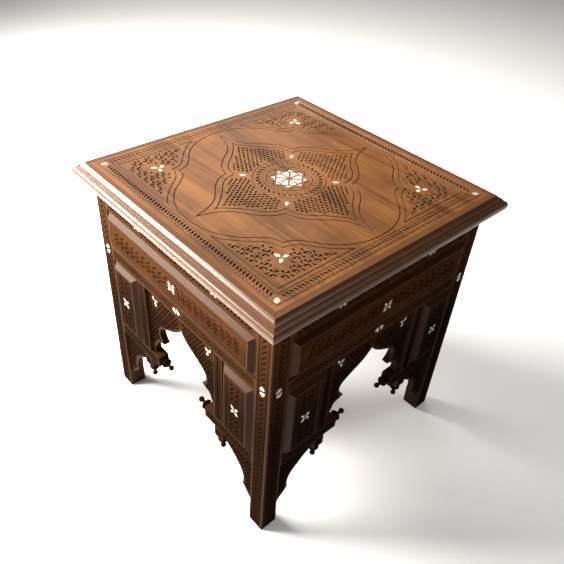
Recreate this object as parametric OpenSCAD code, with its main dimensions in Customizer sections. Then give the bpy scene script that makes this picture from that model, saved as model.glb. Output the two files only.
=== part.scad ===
// Square carved side table with shell inlay, joined frame and mitred top.
// Each face is built alike: frieze rail, long raised panel, middle rail, pierced arch board,
// two posts, two small raised panels, two lower rails and two brackets between the legs.

/* [Overall] */
// Height from the floor to the top surface
height = 500; // [490:5:520]
// Side of the flat square of the top
top_flat = 464; // [460:1:468]
// Side of the square over the outer faces of the legs
leg_square = 446; // [444:1:448]

/* [Top] */
// Thickness of the top board
board_t = 18; // [16:1:20]
// Height of the edge moulding
moulding_h = 34; // [32:1:38]
// How far the moulding's nose stands out past the flat top
nose_out = 15.5; // [13:0.5:18]

/* [Frame] */
// Side of a square leg
leg_w = 32; // [31:0.5:34]
// Thickness of the frieze rails and the middle rails
rail_t = 20; // [19:0.5:22]
// Height of a frieze rail
frieze_h = 51; // [49:1:53]
// Height of a middle rail
mid_h = 24; // [23:0.5:26]
// Height of a lower rail
lower_h = 22; // [21:0.5:24]
// Side of a square post
post_w = 21; // [20:0.5:22]
// Distance from the middle of a face to the middle of a post
post_x = 105.5; // [104:0.5:107]
// How far a post hangs below the lower rail
post_drop = 23; // [20:1:26]
// Distance from the middle of a face to the inner end of a lower rail
block_x = 69; // [67:0.5:71]

/* [Panels] */
// Height of the opening that a long panel fills
long_h = 78; // [76:1:80]
// Height of the opening that a small panel fills
side_h = 150; // [148:1:154]
// Thickness of a panel without its raised field
panel_t = 12; // [11:0.5:13]
// How far a panel's ground lies behind the frame
panel_sink = 2; // [1:0.5:3]
// How far a raised field stands out from the panel's ground
panel_rise = 8; // [7:0.5:9]
// Width of the flat ground round a raised field
panel_margin = 5; // [4:0.5:6]
// Width of the bevel round a raised field
panel_bevel = 6; // [5:0.5:7]

/* [Arches and brackets] */
// Thickness of the arch boards and brackets
fret_t = 12; // [11:0.5:13]
// How far they lie behind the outer faces of the legs
fret_sink = 6; // [5:0.5:7]
// Drop from the middle rail to the point of the arch
arch_drop = 35; // [33:1:36]
// Height of a bracket
bracket_h = 116; // [114:1:118]

/* [Turned finials] */
// Length of a side finial, without its spigot
side_finial = 28.6; // [27:0.2:30]
// Length of a drop finial, without its spigot
drop_finial = 33; // [30:0.5:35]
// Diameter of a finial's base ring
ring_d = 19; // [17:0.5:20]
// Diameter of a finial's ball
ball_d = 9.6; // [8:0.2:11]

/* [Shell inlay] */
// Thickness of the shell pieces
shell_t = 2; // [1.5:0.1:2.5]
// Half diagonal of the star in the middle of the top
star_r = 30; // [28:0.5:32]

/* [Hidden] */
leg_out = leg_square / 2;
leg_in = leg_out - leg_w;
z_board = height - board_t;
z_frieze = z_board - frieze_h;
z_long = z_frieze - long_h;
z_mid = z_long - mid_h;
z_side = z_mid - side_h;
z_lower = z_side - lower_h;
z_post = z_lower - post_drop;
z_bracket = z_lower - bracket_h;
post_in = post_x - post_w / 2;
post_out = post_x + post_w / 2;
// Depth of every groove, and the extra height of the post's top tenon
groove = 4;
post_tenon = 8;
// Rail tenons: how far they enter the leg, their thickness and where it starts
tenon_l = 16.5;
tenon_t = 8;
tenon_y = 6;
frieze_shoulder = 6;
mid_shoulder = 6;
lower_shoulder = 5;
// Tongues on panels and fret boards: thickness and where it starts
panel_tongue_t = 6;
panel_tongue_y = panel_sink + 4;
fret_tongue_t = 6;
fret_tongue_y = fret_sink + 3;
// Spigots that hold the finials
spigot_d = 8;
spigot_l = 12;
// Corner blocks and their screws: the seat is how far the heads lie from the rail
brace_leg = 41;
brace_h = 30;
brace_seat = 17;
rail_inner = leg_out - rail_t;
side_screw_x = leg_in - brace_leg + 18;
screw_d = 4;
screw_head_d = 8;
screw_head_h = 2.4;
screw_bite = 11;
// Height of the oval inlays, and of the pairs of petals in the frieze
oval_z = z_long - 12;
frieze_shell_z = z_board - 36;
frieze_shell_x = 98;
spandrel_shell_x = 75;
spandrel_shell_z = z_mid - 22;
FRONT = 0;
RIGHT = 1;
BACK = 2;
LEFT = 3;

// ---- Placing: x runs along a face, y goes in from the legs' outer plane, z is up ----

module on_face(face) {
    rotate([0, 0, 90 * face]) translate([0, -leg_out, 0]) children();
}

module on_side(side) {
    if (side > 0) children();
    if (side < 0) mirror([1, 0, 0]) children();
}

module on_both_sides() {
    for (side = [-1, 1]) on_side(side) children();
}

module on_all_faces() {
    for (face = [FRONT, RIGHT, BACK, LEFT]) on_face(face) children();
}

// A box from its lowest to its highest corner
module span(low, high) {
    translate(low) cube(high - low);
}

// A flat outline in x and z, given its depth in y
module upright(y0, depth) {
    translate([0, y0 + depth, 0]) rotate([90, 0, 0]) linear_extrude(depth) children();
}

// Points along a cubic curve, without its first point
function curve(a, b, c, d, steps) = [for (i = [1:steps]) let (t = i / steps, s = 1 - t)
    s * s * s * a + 3 * s * s * t * b + 3 * s * t * t * c + t * t * t * d];

// ---- Tenons and tongues: each is drawn once, for its own piece and for its housing ----

module frieze_tenon() {
    span([leg_in, tenon_y, z_frieze + frieze_shoulder + 4],
        [leg_in + tenon_l, tenon_y + tenon_t, z_board - frieze_shoulder]);
}

module mid_tenon() {
    span([leg_in, tenon_y, z_mid + mid_shoulder],
        [leg_in + tenon_l, tenon_y + tenon_t, z_long - mid_shoulder]);
}

module lower_tenon() {
    span([leg_in, tenon_y, z_lower + lower_shoulder],
        [leg_in + tenon_l, tenon_y + tenon_t, z_side - lower_shoulder]);
}

module long_tongue() {
    span([-leg_in - groove, panel_tongue_y, z_long - groove],
        [leg_in + groove, panel_tongue_y + panel_tongue_t, z_frieze + groove]);
}

module small_tongue() {
    span([post_out - groove, panel_tongue_y, z_side - groove],
        [leg_in + groove, panel_tongue_y + panel_tongue_t, z_mid + groove]);
}

module arch_tongue() {
    difference() {
        span([-post_in - groove, fret_tongue_y, z_side],
            [post_in + groove, fret_tongue_y + fret_tongue_t, z_mid + groove]);
        span([-post_in, fret_tongue_y - 1, z_side - 1], [post_in, fret_tongue_y + fret_tongue_t + 1, z_mid]);
    }
}

module bracket_tongue() {
    span([post_out, fret_tongue_y, z_lower], [leg_in - 3, fret_tongue_y + fret_tongue_t, z_lower + groove]);
    span([leg_in, fret_tongue_y, z_bracket + 4],
        [leg_in + groove, fret_tongue_y + fret_tongue_t, z_lower - 2]);
}

module post_top() {
    span([post_in + 5, 5, z_mid], [post_out - 5, post_w - 5, z_mid + post_tenon]);
}

// ---- Shell shapes ----

// A petal from the origin along +x, pointed at both ends
module petal(l, w) {
    bow = (l * l + w * w) / (4 * w);
    intersection() {
        translate([l / 2, bow - w / 2]) circle(bow, $fn = 48);
        translate([l / 2, w / 2 - bow]) circle(bow, $fn = 48);
    }
}

// Petals round a point, one for each angle
module petals(angles, l, w, gap) {
    for (a = angles) rotate(a) translate([gap, 0]) petal(l, w);
}

// An upright oval cut in two by a slanting strip
module split_oval() {
    difference() {
        polygon([for (a = [0:15:345]) [5.4 * cos(a), 9.2 * sin(a)]]);
        rotate(20) square([16, 1.6], center = true);
    }
}

module turned_square(side, angle) {
    rotate(angle) square(side, center = true);
}

// Star of two squares: eight kites inside and eight small points outside
module star() {
    side = star_r * sqrt(2);
    strip = 1.5;
    difference() {
        intersection() {
            turned_square(side - strip, 0);
            turned_square(side - strip, 45);
        }
        for (a = [0:45:135]) rotate(a) square([3 * star_r, strip], center = true);
        circle(2.4, $fn = 24);
    }
    for (k = [0, 1]) difference() {
        turned_square(side - strip, 45 * k);
        turned_square(side + strip, 45 - 45 * k);
    }
}

module star_shape() {
    translate([0, 0, height - shell_t]) linear_extrude(shell_t) star();
}

module top_petal_shape() {
    translate([0, 0, height - shell_t]) linear_extrude(shell_t) for (q = [0:3]) rotate(45 + 90 * q) {
        translate([0.318 * top_flat / 2 - 6, 0]) petal(12, 6.4);
        translate([0.632 * top_flat / 2 * sqrt(2), 0]) petals([0, 125, 235], 11, 6.2, 1.2);
        translate([0.896 * top_flat / 2 * sqrt(2) - 6, 0]) petal(12, 7.6);
    }
}

module frieze_shape() {
    on_both_sides() translate([frieze_shell_x, 0, frieze_shell_z]) upright(0, shell_t)
        petals([45:90:315], 8, 4.6, 1.2);
}

module long_panel_shape() {
    translate([0, 0, z_long + long_h / 2]) upright(panel_sink - panel_rise, shell_t) {
        petals([45:90:315], 10, 5, 1.6);
        petals([0, 180], 5, 2.2, 4);
    }
}

module small_panel_shape() {
    on_both_sides() translate([(post_out + leg_in) / 2, 0, z_side + side_h / 2])
        upright(panel_sink - panel_rise, shell_t) petals([45:90:315], 9.5, 5, 1.6);
}

module spandrel_shape() {
    on_both_sides() translate([spandrel_shell_x, 0, spandrel_shell_z]) upright(fret_sink, shell_t)
        petals([60, 150, 240], 9, 5, 1.4);
}

module rail_oval_shape() {
    translate([0, 0, oval_z]) upright(0, shell_t) rotate(90) split_oval();
}

module leg_oval_shape() {
    on_both_sides() translate([leg_out - leg_w / 2, 0, oval_z]) upright(0, shell_t) split_oval();
}

// ---- Top ----

module top_board() {
    color("peru") difference() {
        span([-leg_out, -leg_out, z_board], [leg_out, leg_out, height]);
        star_shape();
        top_petal_shape();
        for (q = [0:3]) rotate(90 * q) brace_top_screw();
    }
}

// Outline of the edge moulding: out from the board's edge, and down from the top surface
function moulding_outline() = let (flat = top_flat / 2, nose = flat + nose_out) concat(
    [[leg_out, 0], [flat, 0]],
    curve([flat, 0], [flat + 1.5, -3.5], [flat + 4, -5], [flat + 6.5, -5.5], 6),
    [[flat + 7.5, -5.5], [flat + 7.5, -8], [flat + 9.5, -8], [flat + 9.5, -9.5]],
    curve([flat + 9.5, -9.5], [nose - 2, -9.5], [nose, -12.5], [nose, -17.5], 6),
    curve([nose, -17.5], [nose, -23], [nose - 3, -27], [flat + 9, -28.5], 6),
    [[flat + 9, -30.5]],
    curve([flat + 9, -30.5], [flat + 7, -31.5], [flat + 5, -33], [flat + 4, -moulding_h], 4),
    [[leg_out, -moulding_h]]);

module moulding(face) {
    reach = top_flat / 2 + nose_out + 1;
    color("sienna") rotate([0, 0, 90 * face]) intersection() {
        translate([reach, 0, height]) rotate([90, 0, -90]) linear_extrude(2 * reach)
            polygon(moulding_outline());
        translate([0, 0, height - moulding_h - 1]) linear_extrude(moulding_h + 2)
            polygon([[-leg_out, -leg_out], [-reach, -reach], [reach, -reach], [leg_out, -leg_out]]);
    }
}

// ---- Legs and rails ----

module housings() {
    frieze_tenon();
    mid_tenon();
    lower_tenon();
    long_tongue();
    small_tongue();
    bracket_tongue();
}

// The leg at the right hand end of a face
module leg(face) {
    color("saddlebrown") rotate([0, 0, 90 * face]) difference() {
        span([leg_in, -leg_out, 0], [leg_out, -leg_in, z_board]);
        on_face(FRONT) housings();
        on_face(RIGHT) on_side(-1) housings();
        on_face(FRONT) leg_oval_shape();
        on_face(RIGHT) leg_oval_shape();
    }
}

module frieze_rail(face) {
    color("saddlebrown") on_face(face) {
        difference() {
            span([-leg_in, 0, z_frieze], [leg_in, rail_t, z_board]);
            long_tongue();
            frieze_shape();
            translate([0, leg_out, 0]) brace_side_screws();
        }
        on_both_sides() frieze_tenon();
    }
}

module middle_rail(face) {
    color("saddlebrown") on_face(face) {
        difference() {
            span([-leg_in, 0, z_mid], [leg_in, rail_t, z_long]);
            long_tongue();
            on_both_sides() small_tongue();
            arch_tongue();
            on_both_sides() post_top();
            rail_oval_shape();
        }
        on_both_sides() mid_tenon();
    }
}

// The lower rail runs past the post, halved over it, and ends in a block
module lower_rail(face, side) {
    color("saddlebrown") on_face(face) on_side(side) difference() {
        union() {
            span([block_x, 0, z_lower], [leg_in, post_w, z_side]);
            lower_tenon();
        }
        span([post_in, -1, z_lower - 1], [post_out, post_w / 2, z_side + 1]);
        small_tongue();
        bracket_tongue();
        side_spigot();
    }
}

module post_pair(face) {
    color("saddlebrown") on_face(face) on_both_sides() {
        difference() {
            span([post_in, 0, z_post], [post_out, post_w, z_mid]);
            span([post_in - 1, post_w / 2, z_lower], [post_out + 1, post_w + 1, z_side]);
            small_tongue();
            arch_tongue();
            drop_spigot();
        }
        post_top();
    }
}

// ---- Panels ----

// A field with bevelled edges, standing out from a panel's ground towards -y
module raised_field(x0, x1, z0, z1) {
    front = panel_sink - panel_rise;
    intersection() {
        translate([0, 0, z0]) linear_extrude(z1 - z0) polygon([[x0, panel_sink], [x0 + panel_bevel, front],
            [x1 - panel_bevel, front], [x1, panel_sink]]);
        translate([x0, 0, 0]) rotate([90, 0, 90]) linear_extrude(x1 - x0) polygon([[panel_sink, z0],
            [front, z0 + panel_bevel], [front, z1 - panel_bevel], [panel_sink, z1]]);
    }
}

module long_panel(face) {
    color("sienna") on_face(face) difference() {
        union() {
            span([-leg_in, panel_sink, z_long], [leg_in, panel_sink + panel_t, z_frieze]);
            long_tongue();
            raised_field(panel_margin - leg_in, leg_in - panel_margin,
                z_long + panel_margin, z_frieze - panel_margin);
        }
        long_panel_shape();
    }
}

module small_panels(face) {
    color("sienna") on_face(face) difference() {
        on_both_sides() {
            span([post_out, panel_sink, z_side], [leg_in, panel_sink + panel_t, z_mid]);
            small_tongue();
            raised_field(post_out + panel_margin, leg_in - panel_margin,
                z_side + panel_margin, z_mid - panel_margin);
        }
        small_panel_shape();
    }
}

// ---- Arch boards and brackets ----

// Half of the arch, down from its point: an ogee, a tooth and the foot on the block
function arch_half(foot) = concat(
    [[0, 0]],
    curve([0, 0], [14, -17], [26, -21], [46, -31], 8),
    curve([46, -31], [60, -38], [70, -46], [65, -58], 8),
    curve([65, -58], [62, -65], [59, -70], [54, -73], 5),
    [[72, -79]],
    curve([72, -79], [79, -84], [78, -94], [86, -100], 6),
    [[86, -foot]]);

module arch_board(face) {
    half = arch_half(side_h - arch_drop);
    other = [for (i = [len(half) - 1:-1:1]) [-half[i][0], half[i][1]]];
    color("chocolate") on_face(face) difference() {
        union() {
            translate([0, 0, z_mid - arch_drop]) upright(fret_sink, fret_t) polygon(concat(
                [[-post_in, arch_drop], [-post_in, arch_drop - side_h]], other, half,
                [[post_in, arch_drop - side_h], [post_in, arch_drop]]));
            arch_tongue();
        }
        spandrel_shape();
    }
}

// Outline of a bracket, left and down from the corner of leg and lower rail
function bracket_outline() = concat(
    [[0, 0], [post_out - leg_in, 0], [post_out - leg_in, -20]],
    curve([post_out - leg_in, -20], [-63, -29], [-41, -43], [-31, -58], 6),
    curve([-31, -58], [-25, -68], [-25, -79], [-28, -91], 6),
    curve([-28, -91], [-20, -97], [-12, -108], [-6, -bracket_h + 2], 5),
    [[0, -bracket_h]]);

module bracket(face, side) {
    color("chocolate") on_face(face) on_side(side) {
        translate([leg_in, 0, z_lower]) upright(fret_sink, fret_t) polygon(bracket_outline());
        bracket_tongue();
    }
}

// ---- Turned finials ----

// A turning from the origin along +z: base ring, collar, neck and ball
module turning(l) {
    ring = ring_d / 2;
    ball = ball_d / 2;
    rotate_extrude($fn = 48) intersection() {
        union() {
            polygon([[0, 0], [ring, 0], [ring, 0.07 * l], [ring - 1.5, 0.12 * l], [ring - 4, 0.2 * l],
                [ring - 3.6, 0.24 * l], [ring - 0.6, 0.28 * l], [ring - 0.2, 0.34 * l], [ring - 1.4, 0.4 * l],
                [ring - 4.6, 0.46 * l], [3.2, 0.56 * l], [2.8, l - ball], [0, l - ball]]);
            translate([0, l - ball]) circle(ball, $fn = 48);
        }
        square([2 * ring, l + 1]);
    }
    translate([0, 0, -spigot_l]) cylinder(h = spigot_l, d = spigot_d, $fn = 48);
}

module side_spigot() {
    translate([block_x, post_w / 2, (z_lower + z_side) / 2]) rotate([0, 90, 0])
        translate([0, 0, -1]) cylinder(h = spigot_l + 1, d = spigot_d, $fn = 48);
}

module drop_spigot() {
    translate([post_x, post_w / 2, z_post - 1]) cylinder(h = spigot_l + 1, d = spigot_d, $fn = 48);
}

module side_finials() {
    color("saddlebrown") on_all_faces() on_both_sides()
        translate([block_x, post_w / 2, (z_lower + z_side) / 2]) rotate([0, -90, 0]) turning(side_finial);
}

module drop_finials() {
    color("saddlebrown") on_all_faces() on_both_sides()
        translate([post_x, post_w / 2, z_post]) rotate([180, 0, 0]) turning(drop_finial);
}

// ---- Corner blocks and screws, hidden under the top ----

// A countersunk screw: head at the origin, shank along +z
module screw(l) {
    cylinder(h = screw_head_h, d1 = screw_head_d, d2 = screw_d, $fn = 32);
    translate([0, 0, screw_head_h]) cylinder(h = l - screw_head_h, d = screw_d, $fn = 32);
}

// The screw up into the board, in the corner of +x and +y
module brace_top_screw() {
    middle = rail_inner - brace_seat;
    translate([middle, middle, z_board - brace_h]) screw(brace_h + screw_bite);
}

// Screws through both ends of the blocks into the front rail
module brace_side_screws() {
    on_both_sides() translate([side_screw_x, brace_seat - rail_inner, z_board - brace_h / 2])
        rotate([90, 0, 0]) screw(brace_seat + screw_bite);
}

module corner_block() {
    difference() {
        translate([0, 0, z_board - brace_h]) linear_extrude(brace_h) polygon([[rail_inner, leg_in - brace_leg],
            [rail_inner, leg_in], [leg_in, leg_in], [leg_in, rail_inner], [leg_in - brace_leg, rail_inner]]);
        brace_top_screw();
        for (q = [0:3]) rotate(90 * q) brace_side_screws();
        for (q = [0:3]) rotate(90 * q) brace_head_ways();
    }
}

// Ways for the heads of the side screws, back to the block's open face
module brace_head_ways() {
    on_both_sides() translate([side_screw_x, brace_seat - rail_inner, z_board - brace_h / 2])
        rotate([-90, 0, 0]) cylinder(h = brace_leg, d = screw_head_d, $fn = 32);
}

module corner_blocks() {
    color("burlywood") for (q = [0:3]) rotate(90 * q) corner_block();
}

module block_screws() {
    color("silver") for (q = [0:3]) rotate(90 * q) {
        brace_top_screw();
        brace_side_screws();
    }
}

// ---- Shell inlay ----

module star_inlay() {
    color("ivory") star_shape();
}

module top_petal_inlay() {
    color("ivory") top_petal_shape();
}

module frieze_inlay() {
    color("ivory") on_all_faces() frieze_shape();
}

module panel_inlay() {
    color("ivory") on_all_faces() {
        long_panel_shape();
        small_panel_shape();
    }
}

module spandrel_inlay() {
    color("ivory") on_all_faces() spandrel_shape();
}

module oval_inlay() {
    color("ivory") on_all_faces() {
        rail_oval_shape();
        leg_oval_shape();
    }
}

top_board();
moulding(FRONT);  // moulding_front
moulding(RIGHT);  // moulding_right
moulding(BACK);  // moulding_back
moulding(LEFT);  // moulding_left
leg(FRONT);  // leg_front_right
leg(RIGHT);  // leg_back_right
leg(BACK);  // leg_back_left
leg(LEFT);  // leg_front_left
frieze_rail(FRONT);  // frieze_rail_front
frieze_rail(RIGHT);  // frieze_rail_right
frieze_rail(BACK);  // frieze_rail_back
frieze_rail(LEFT);  // frieze_rail_left
long_panel(FRONT);  // long_panel_front
long_panel(RIGHT);  // long_panel_right
long_panel(BACK);  // long_panel_back
long_panel(LEFT);  // long_panel_left
middle_rail(FRONT);  // middle_rail_front
middle_rail(RIGHT);  // middle_rail_right
middle_rail(BACK);  // middle_rail_back
middle_rail(LEFT);  // middle_rail_left
arch_board(FRONT);  // arch_board_front
arch_board(RIGHT);  // arch_board_right
arch_board(BACK);  // arch_board_back
arch_board(LEFT);  // arch_board_left
post_pair(FRONT);  // post_pair_front
post_pair(RIGHT);  // post_pair_right
post_pair(BACK);  // post_pair_back
post_pair(LEFT);  // post_pair_left
small_panels(FRONT);  // small_panels_front
small_panels(RIGHT);  // small_panels_right
small_panels(BACK);  // small_panels_back
small_panels(LEFT);  // small_panels_left
lower_rail(FRONT, -1);  // lower_rail_front_l
lower_rail(FRONT, 1);  // lower_rail_front_r
lower_rail(RIGHT, -1);  // lower_rail_right_l
lower_rail(RIGHT, 1);  // lower_rail_right_r
lower_rail(BACK, -1);  // lower_rail_back_l
lower_rail(BACK, 1);  // lower_rail_back_r
lower_rail(LEFT, -1);  // lower_rail_left_l
lower_rail(LEFT, 1);  // lower_rail_left_r
bracket(FRONT, -1);  // bracket_front_l
bracket(FRONT, 1);  // bracket_front_r
bracket(RIGHT, -1);  // bracket_right_l
bracket(RIGHT, 1);  // bracket_right_r
bracket(BACK, -1);  // bracket_back_l
bracket(BACK, 1);  // bracket_back_r
bracket(LEFT, -1);  // bracket_left_l
bracket(LEFT, 1);  // bracket_left_r
side_finials();
drop_finials();
corner_blocks();
block_screws();
star_inlay();
top_petal_inlay();
frieze_inlay();
panel_inlay();
spandrel_inlay();
oval_inlay();
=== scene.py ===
# %% [markdown]
# # A carved side table with shell inlay
# The table is joined like a small building: four legs, rails and panels between them, a board on
# top with a mitred moulding round it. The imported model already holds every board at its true
# size. What is added here is what the carver and the finisher did: gouge cuts, engraved lines,
# softened edges, stain, lacquer and shell.

# %% Load the frame
import math
import random
import bpy
import bmesh
from collections import namedtuple
from mathutils import Matrix, Vector


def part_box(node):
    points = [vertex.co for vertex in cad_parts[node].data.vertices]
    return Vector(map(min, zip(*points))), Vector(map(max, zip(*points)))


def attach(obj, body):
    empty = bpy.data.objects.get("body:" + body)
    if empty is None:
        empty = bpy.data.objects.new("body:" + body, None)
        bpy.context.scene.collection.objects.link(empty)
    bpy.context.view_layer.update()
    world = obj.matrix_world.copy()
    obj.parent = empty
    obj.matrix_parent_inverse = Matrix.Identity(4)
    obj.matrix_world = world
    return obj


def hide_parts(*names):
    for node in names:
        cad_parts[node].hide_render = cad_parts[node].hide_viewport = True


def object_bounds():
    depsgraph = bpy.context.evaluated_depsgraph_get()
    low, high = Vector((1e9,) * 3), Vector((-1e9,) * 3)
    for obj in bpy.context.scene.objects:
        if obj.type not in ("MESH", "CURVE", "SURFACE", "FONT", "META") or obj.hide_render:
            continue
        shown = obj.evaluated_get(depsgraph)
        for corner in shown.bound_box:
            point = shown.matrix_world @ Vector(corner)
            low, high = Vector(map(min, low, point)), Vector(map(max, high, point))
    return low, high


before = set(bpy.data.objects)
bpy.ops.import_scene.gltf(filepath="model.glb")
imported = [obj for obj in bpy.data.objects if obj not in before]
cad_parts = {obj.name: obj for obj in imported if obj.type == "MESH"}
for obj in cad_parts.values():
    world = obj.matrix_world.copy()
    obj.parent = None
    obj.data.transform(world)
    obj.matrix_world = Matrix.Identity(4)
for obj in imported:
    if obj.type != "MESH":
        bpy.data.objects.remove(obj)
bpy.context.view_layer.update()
MM = 0.001

# %% [markdown]
# ## The camera
# The camera comes first, because it decides how much detail is worth carving. It stands at the
# near corner, about half a metre above the top, and is rolled a few degrees, as a hand-held
# camera is.

# %% Camera
top_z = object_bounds()[1].z
CAMERA_TURN = math.radians(45.75)
CAMERA_RISE = math.radians(39.32)
CAMERA_ROLL = math.radians(4.22)
CAMERA_DISTANCE = 0.7799
CAMERA_LENS = 39.6
CAMERA_SENSOR = 36
aim = Vector((0.1854, -0.1801, top_z))

back = Vector((math.sin(CAMERA_TURN) * math.cos(CAMERA_RISE),
               -math.cos(CAMERA_TURN) * math.cos(CAMERA_RISE), math.sin(CAMERA_RISE)))
level_right = (-back).cross(Vector((0, 0, 1))).normalized()
level_up = level_right.cross(-back)
right = level_right * math.cos(CAMERA_ROLL) + level_up * math.sin(CAMERA_ROLL)
up = level_up * math.cos(CAMERA_ROLL) - level_right * math.sin(CAMERA_ROLL)

camera_data = bpy.data.cameras.new("camera")
camera_data.lens = CAMERA_LENS
camera_data.sensor_width = CAMERA_SENSOR
camera = bpy.data.objects.new("camera", camera_data)
turn = Matrix((right, up, back)).transposed().to_4x4()
camera.matrix_world = Matrix.Translation(aim + back * CAMERA_DISTANCE) @ turn
bpy.context.scene.collection.objects.link(camera)
bpy.context.scene.camera = camera
print("camera at", [round(c, 3) for c in camera.location])

# %% [markdown]
# ## Flat shapes
# Chip carving is drawn before it is cut. Every cut starts as a closed outline on the flat face of
# a board, in millimetres: a lens for one gouge stroke, a crescent for a scroll, a drop for a
# leaf. Working in two dimensions keeps the drawing apart from the cutting.

# %% Outlines of single cuts
def curve(a, b, c, d, steps):
    """Points along a cubic curve, without its first point."""
    points = []
    for i in range(1, steps + 1):
        t = i / steps
        s = 1 - t
        points.append(tuple(s**3 * p + 3 * s * s * t * q + 3 * s * t * t * r + t**3 * e
                            for p, q, r, e in zip(a, b, c, d)))
    return points


def turned(points, angle, x=0.0, y=0.0):
    """The points turned by an angle in degrees, then moved to x, y."""
    c, s = math.cos(math.radians(angle)), math.sin(math.radians(angle))
    return [(x + px * c - py * s, y + px * s + py * c) for px, py in points]


def moved(points, x, y=0.0):
    return [(x + px, y + py) for px, py in points]


def swapped(points):
    """The outline mirrored in the diagonal, still running anticlockwise."""
    return [(y, x) for x, y in reversed(points)]


def lens(x, y, length, width, angle, steps=4):
    """A stroke pointed at both ends."""
    top = [(length * (0.5 - i / steps), width / 2 * math.sin(math.pi * i / steps))
           for i in range(steps + 1)]
    return turned(top + [(-px, -py) for px, py in top[1:-1]], angle, x, y)


def drop(x, y, length, width, angle):
    """A leaf: round at the start, pointed at the end."""
    side = [(length, 0), (length * 0.55, width * 0.34), (length * 0.2, width * 0.5), (0, width * 0.3)]
    return turned(side + [(px, -py) for px, py in side[:0:-1]], angle, x, y)


def comma_shape(t):
    """A comma's width along its stroke: thickest a third of the way, then a long tail."""
    return math.sin(math.pi * t ** 0.6) ** 0.8


def hook_shape(t):
    """A hook's width along its stroke: thick near both ends, with a waist between them."""
    return (0.50 + 0.50 * math.cos(math.pi * t) ** 2) * min(1.0, 4 * math.sin(math.pi * t)) ** 0.5


def crescent(x, y, radius, width, start, sweep, shape, steps):
    """A stroke along an arc: the shape says how its width changes from end to end."""
    outer, inner = [], []
    for i in range(steps + 1):
        a = math.radians(start + sweep * i / steps)
        half = max(width / 2 * shape(i / steps), 0.0)
        outer.append((x + (radius + half) * math.cos(a), y + (radius + half) * math.sin(a)))
        inner.append((x + (radius - half) * math.cos(a), y + (radius - half) * math.sin(a)))
    return outer + inner[-2:0:-1]


def comma(x, y, length, width, angle):
    """A short curved stroke with a thick head, its middle at x, y and its tail along the angle."""
    radius = length * 0.62
    half_sweep = 46
    arc = crescent(0, -radius, radius, width, 90 + half_sweep, -2 * half_sweep, comma_shape, 6)
    return turned(arc[::-1], angle, x, y)


def mirrored(points):
    """The outline mirrored left to right, still running anticlockwise."""
    return [(-x, y) for x, y in reversed(points)]


def ring(radius, steps):
    return [(radius * math.cos(2 * math.pi * i / steps), radius * math.sin(2 * math.pi * i / steps))
            for i in range(steps)]


def rectangle(x0, y0, x1, y1):
    return [(x0, y0), (x1, y0), (x1, y1), (x0, y1)]


print("a lens has", len(lens(0, 0, 7, 4, 0)), "corners, a drop", len(drop(0, 0, 7, 5, 0)),
      "and a comma", len(comma(0, 0, 7, 4, 0)))

# %% [markdown]
# ## Lines beside lines
# An engraved line is a narrow channel: its two edges run beside a path, at the same distance all
# the way, also at the corners. The same step sideways grows or shrinks a closed outline. That
# gives the pocket round a piece of shell and the bare margin round a carved field. Blender can
# inset a face, but here the outlines are needed before there is a face.

# %% Offsets and regions
GOUGE_WALL = 0.35
POCKET_WALL = 0.02
POCKET_DEEP = 1.0
Cut = namedtuple("Cut", "rim wall deep")
Groove = namedtuple("Groove", "left right closed deep")


def side_steps(points, closed):
    """For each point, the step to the left of the line that keeps both of its edges parallel."""
    count = len(points)
    longest_step = 4
    steps = []
    for i, (x, y) in enumerate(points):
        before = points[i - 1] if closed or i > 0 else None
        after = points[(i + 1) % count] if closed or i < count - 1 else None
        sides = []
        for start, end in ((before, (x, y)), ((x, y), after)):
            if start and end:
                edge = Vector((end[0] - start[0], end[1] - start[1])).normalized()
                sides.append(Vector((-edge.y, edge.x)))
        middle = sum(sides, Vector((0, 0))).normalized()
        steps.append(middle / max(middle.dot(sides[0]), 1 / longest_step))
    return steps


def grown(points, by):
    """A closed anticlockwise outline grown outwards by a distance, or shrunk if it is negative."""
    return [(x - step.x * by, y - step.y * by)
            for (x, y), step in zip(points, side_steps(points, True))]


def inside(point, outline):
    """Whether a line from the point to the right crosses the outline an odd number of times."""
    x, y = point
    odd = False
    for (x0, y0), (x1, y1) in zip(outline, outline[1:] + outline[:1]):
        if (y0 > y) != (y1 > y) and x < x0 + (y - y0) * (x1 - x0) / (y1 - y0):
            odd = not odd
    return odd


def groove(path, width, deep, closed=True):
    """An engraved line along a path."""
    steps = side_steps(path, closed)
    left = [(x + s.x * width / 2, y + s.y * width / 2) for (x, y), s in zip(path, steps)]
    right_side = [(x - s.x * width / 2, y - s.y * width / 2) for (x, y), s in zip(path, steps)]
    return Groove(left, right_side, closed, deep)


def gouged(outline, deep):
    """A cut with sloping walls."""
    return Cut(outline, GOUGE_WALL, deep)


def placed_cuts(outlines, deep, angle=0, x=0.0, y=0.0):
    return [gouged(turned(o, angle, x, y), deep) for o in outlines]


def shell_pockets(outlines, glue_line=0.2):
    """Pockets with upright walls, a glue line wider than the shell that goes in."""
    return [Cut(grown(o, glue_line), POCKET_WALL, POCKET_DEEP) for o in outlines]


print("a millimetre outside a 10 mm square:", grown(rectangle(0, 0, 10, 10), 1))

# %% [markdown]
# ## Fields of carving
# The foliage is a lattice of one small motif, each row set half a step along: hooked scrolls in
# the corners of the top and on the long panels, drops in the figure in the middle of the top,
# commas on the other boards. What is left standing between the cuts reads as running stems. A
# stroke is kept only where all of it lies inside the field and clear of the shell, as a carver
# would leave it out. Every stroke could be placed by hand, but the real carver worked to a
# pattern too, and the small errors of the hand are added when the strokes are cut.

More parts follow.
